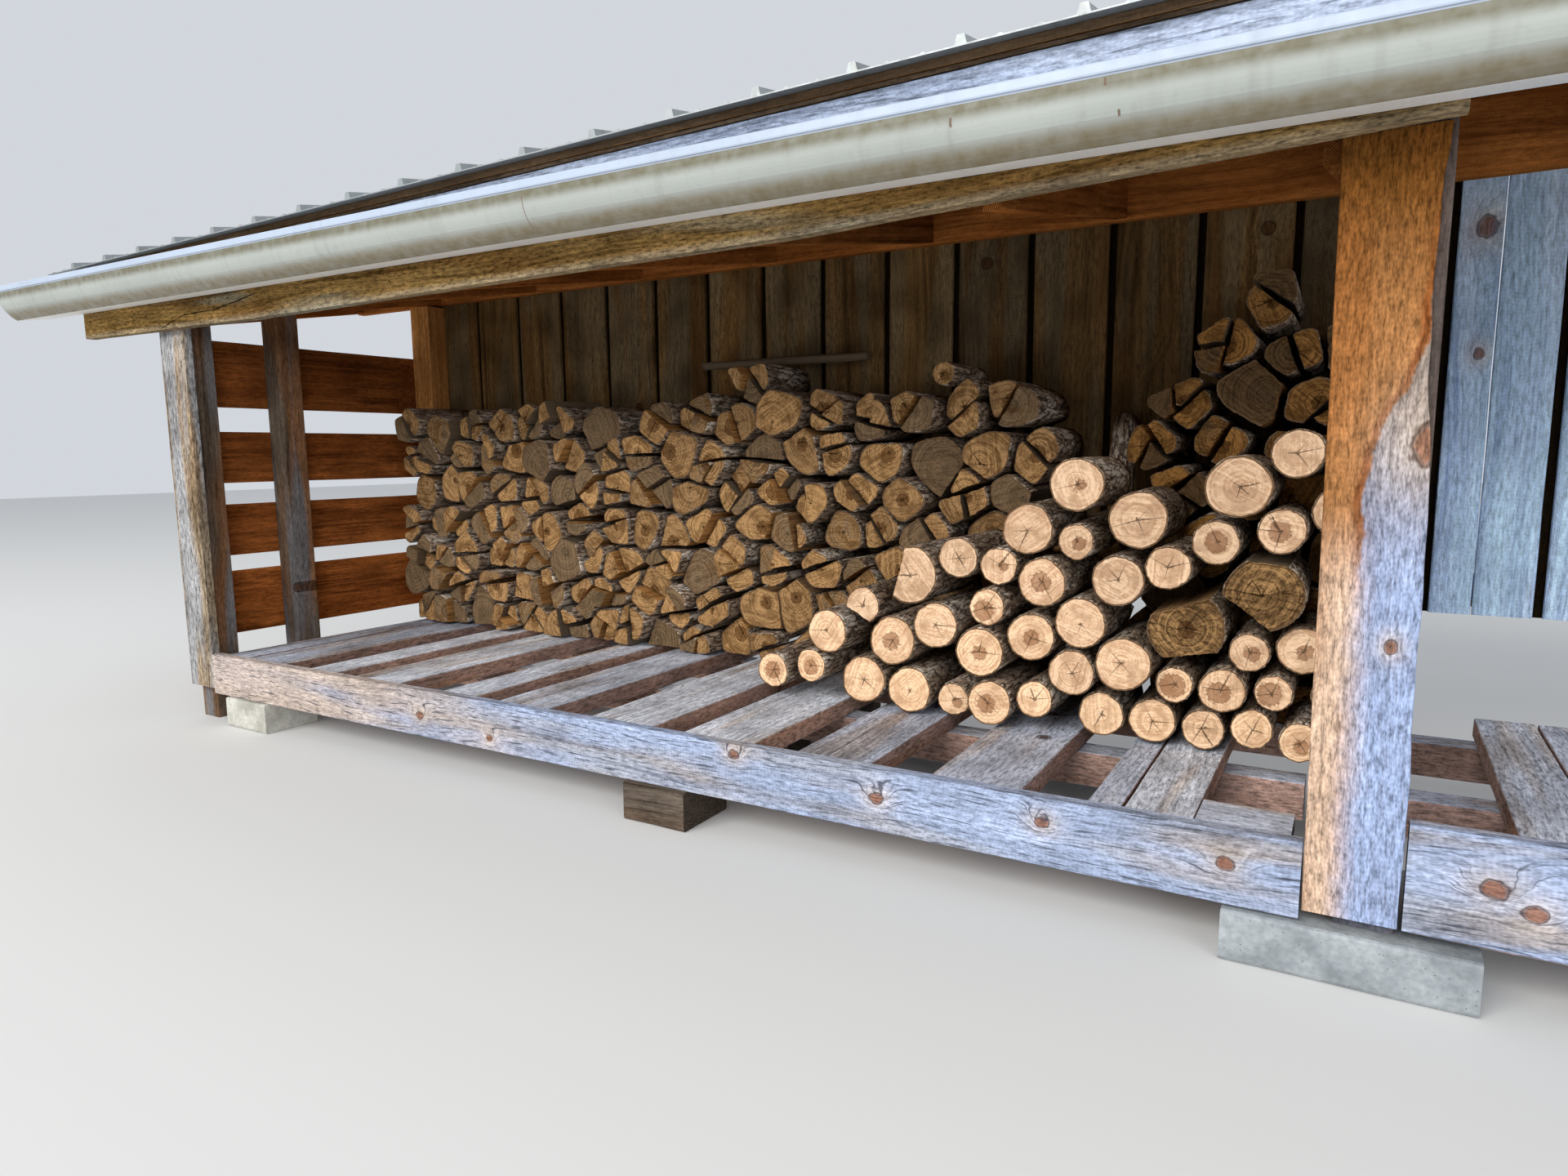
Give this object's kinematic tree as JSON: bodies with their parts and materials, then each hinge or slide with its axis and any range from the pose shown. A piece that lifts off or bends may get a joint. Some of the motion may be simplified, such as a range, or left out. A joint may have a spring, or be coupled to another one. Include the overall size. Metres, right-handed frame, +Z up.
{
  "type": "log store",
  "caption": "Open-fronted lean-to log store with a slatted raised deck, spaced end boards, boarded back, ribbed metal roof and front gutter, part filled with split and round logs.",
  "frame": {"origin": "on the ground under the middle of the whole, gutter and roof included", "axes": "+X along the open front towards the right-hand bay as seen from the front, +Y from the open front towards the boarded back, +Z up"},
  "size_m": [9.24, 1.5146, 2.0509],
  "materials": {
    "beam_timber": "ochre-stained sawn board, matte",
    "concrete": "cast concrete, rough",
    "end_timber": "dark red-brown stained boards, satin",
    "firewood": "split and round logs, bark and raw end grain",
    "frame_timber": "orange-brown stained softwood, satin",
    "gutter_paint": "khaki-cream baked enamel, satin",
    "pale_block": "pale cast block, rough",
    "roof_metal": "coated ribbed steel sheet, matte grey",
    "siding_timber": "dark stained vertical boarding, matte",
    "weathered_timber": "sawn softwood, silvered and tan in places, matte"
  },
  "bodies": {
    "root": {"back_battens": "siding_timber", "back_boards_left": "siding_timber", "back_boards_right": "siding_timber", "back_rails": "siding_timber", "centre_post": "weathered_timber", "centre_post_board": "weathered_timber", "centre_slab": "concrete", "corner_post_back_left": "weathered_timber", "corner_post_back_right": "weathered_timber", "corner_post_front_left": "weathered_timber", "corner_post_front_right": "weathered_timber", "deck_slats_left": "weathered_timber", "deck_slats_right": "weathered_timber", "end_board_left_1": "end_timber", "end_board_left_2": "end_timber", "end_board_left_3": "end_timber", "end_board_left_4": "end_timber", "end_board_right_1": "end_timber", "end_board_right_2": "end_timber", "end_board_right_3": "end_timber", "end_board_right_4": "end_timber", "firewood_back_stack": "firewood", "firewood_round_logs": "firewood", "firewood_tall_stack": "firewood", "front_beam_left": "beam_timber", "front_beam_right": "beam_timber", "front_post_board_left": "weathered_timber", "front_post_board_right": "weathered_timber", "gutter_left": "gutter_paint", "gutter_right": "gutter_paint", "ledger": "frame_timber", "middle_post_left": "weathered_timber", "middle_post_right": "weathered_timber", "pale_blocks": "pale_block", "rafters": "frame_timber", "rim_board_left": "weathered_timber", "rim_board_right": "weathered_timber", "roof_boards_left": "weathered_timber", "roof_boards_right": "weathered_timber", "roof_sheet_left": "roof_metal", "roof_sheet_right": "roof_metal", "sleepers_left": "weathered_timber", "sleepers_right": "weathered_timber", "timber_blocks": "weathered_timber"}
  },
  "joints": []
}
